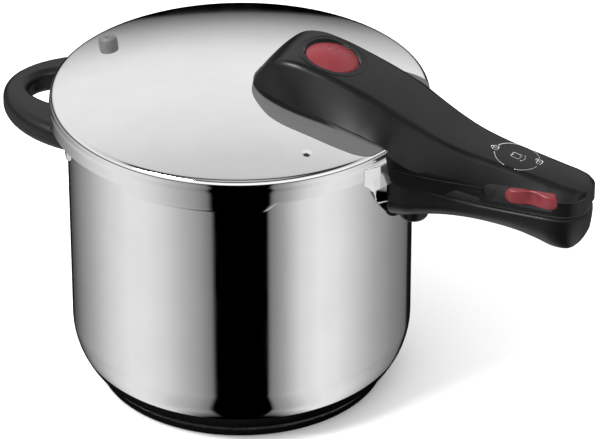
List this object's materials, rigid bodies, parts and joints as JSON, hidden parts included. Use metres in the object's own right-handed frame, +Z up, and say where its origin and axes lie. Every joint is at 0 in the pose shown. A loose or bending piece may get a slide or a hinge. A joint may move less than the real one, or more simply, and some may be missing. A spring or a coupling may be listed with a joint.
{
  "type": "stove-top pressure cooker",
  "caption": "Tall mirror-steel pressure cooker with a bayonet lid, long two-part handle, loop side handle, opening slider and rising pressure signal.",
  "frame": {"origin": "centre of the underside of the base, on the surface it stands on", "axes": "+Z up; +X along the long handle, away from the pot; +Y completes the right-handed frame"},
  "size_m": [0.4013, 0.2446, 0.2445],
  "materials": {
    "polished_steel": "mirror-polished stainless steel",
    "satin_steel": "satin stainless and spring steel",
    "base_aluminium": "enclosed heat-spreading core",
    "black_plastic": "fine-grained heat-proof plastic",
    "foot_plastic": "fine-grained heat-proof plastic, lighter grey",
    "red_plastic": "smooth satin plastic",
    "silicone": "grey moulded silicone",
    "valve_silicone": "dark grey moulded silicone"
  },
  "bodies": {
    "pot": {"pot_body": "polished_steel", "base_core": "base_aluminium", "base_cap": "polished_steel", "pot_handle_flame_guard": "polished_steel", "pot_handle": "black_plastic", "pot_handle_bracket": "satin_steel", "pot_handle_screw": "satin_steel", "side_handle": "black_plastic", "side_handle_flame_guard": "polished_steel", "side_handle_bracket": "satin_steel", "side_handle_screws": "satin_steel"},
    "gasket": {"sealing_gasket": "silicone"},
    "lid": {"lid_shell": "polished_steel", "lid_handle_bracket": "polished_steel", "lid_handle_foot": "foot_plastic", "lid_handle_top_shell": "black_plastic", "lid_handle_lower_shell": "black_plastic", "lid_handle_screws": "satin_steel", "residual_valve_body": "valve_silicone", "signal_grommet": "silicone", "signal_spring": "satin_steel", "vent_seat": "silicone", "vent_spring": "satin_steel", "slider_spring": "satin_steel", "latch_spring": "satin_steel"},
    "slider": {"opening_slider": "red_plastic", "locking_bar": "satin_steel"},
    "latch": {"handle_release_latch": "black_plastic"},
    "signal": {"signal_cap": "red_plastic", "signal_stem": "satin_steel"},
    "vent": {"vent_cone": "satin_steel"},
    "ball": {"residual_valve_ball": "satin_steel"}
  },
  "joints": [
    {"name": "lid_lift", "type": "slide", "parent": "pot", "child": "gasket", "axis": [0, 0, 1], "range_m": [0, 0.08]},
    {"name": "lid_turn", "type": "hinge", "parent": "gasket", "child": "lid", "pos_m": [0, 0, 0.1], "axis": [0, 0, 1], "range_deg": [0, 43]},
    {"name": "slider_slide", "type": "slide", "parent": "lid", "child": "slider", "axis": [-1, 0, 0], "range_m": [0, 0.014], "deforming": ["slider_spring"]},
    {"name": "latch_slide", "type": "slide", "parent": "lid", "child": "latch", "axis": [1, 0, 0], "range_m": [0, 0.003], "stiffness_N_per_m": 300, "deforming": ["latch_spring"]},
    {"name": "signal_rise", "type": "slide", "parent": "lid", "child": "signal", "axis": [0, 0, 1], "range_m": [0, 0.01], "stiffness_N_per_m": 60, "deforming": ["signal_spring"]},
    {"name": "vent_lift", "type": "slide", "parent": "lid", "child": "vent", "axis": [0, 0, 1], "range_m": [-0.0025, 0], "deforming": ["vent_spring"]},
    {"name": "ball_float", "type": "slide", "parent": "lid", "child": "ball", "axis": [-0.1553, 0.0114, 0.9878], "range_m": [0, 0.0015]}
  ],
  "couplings": [
    {"joint": "vent_lift", "follows": "slider_slide", "ratio": -0.17857}
  ]
}
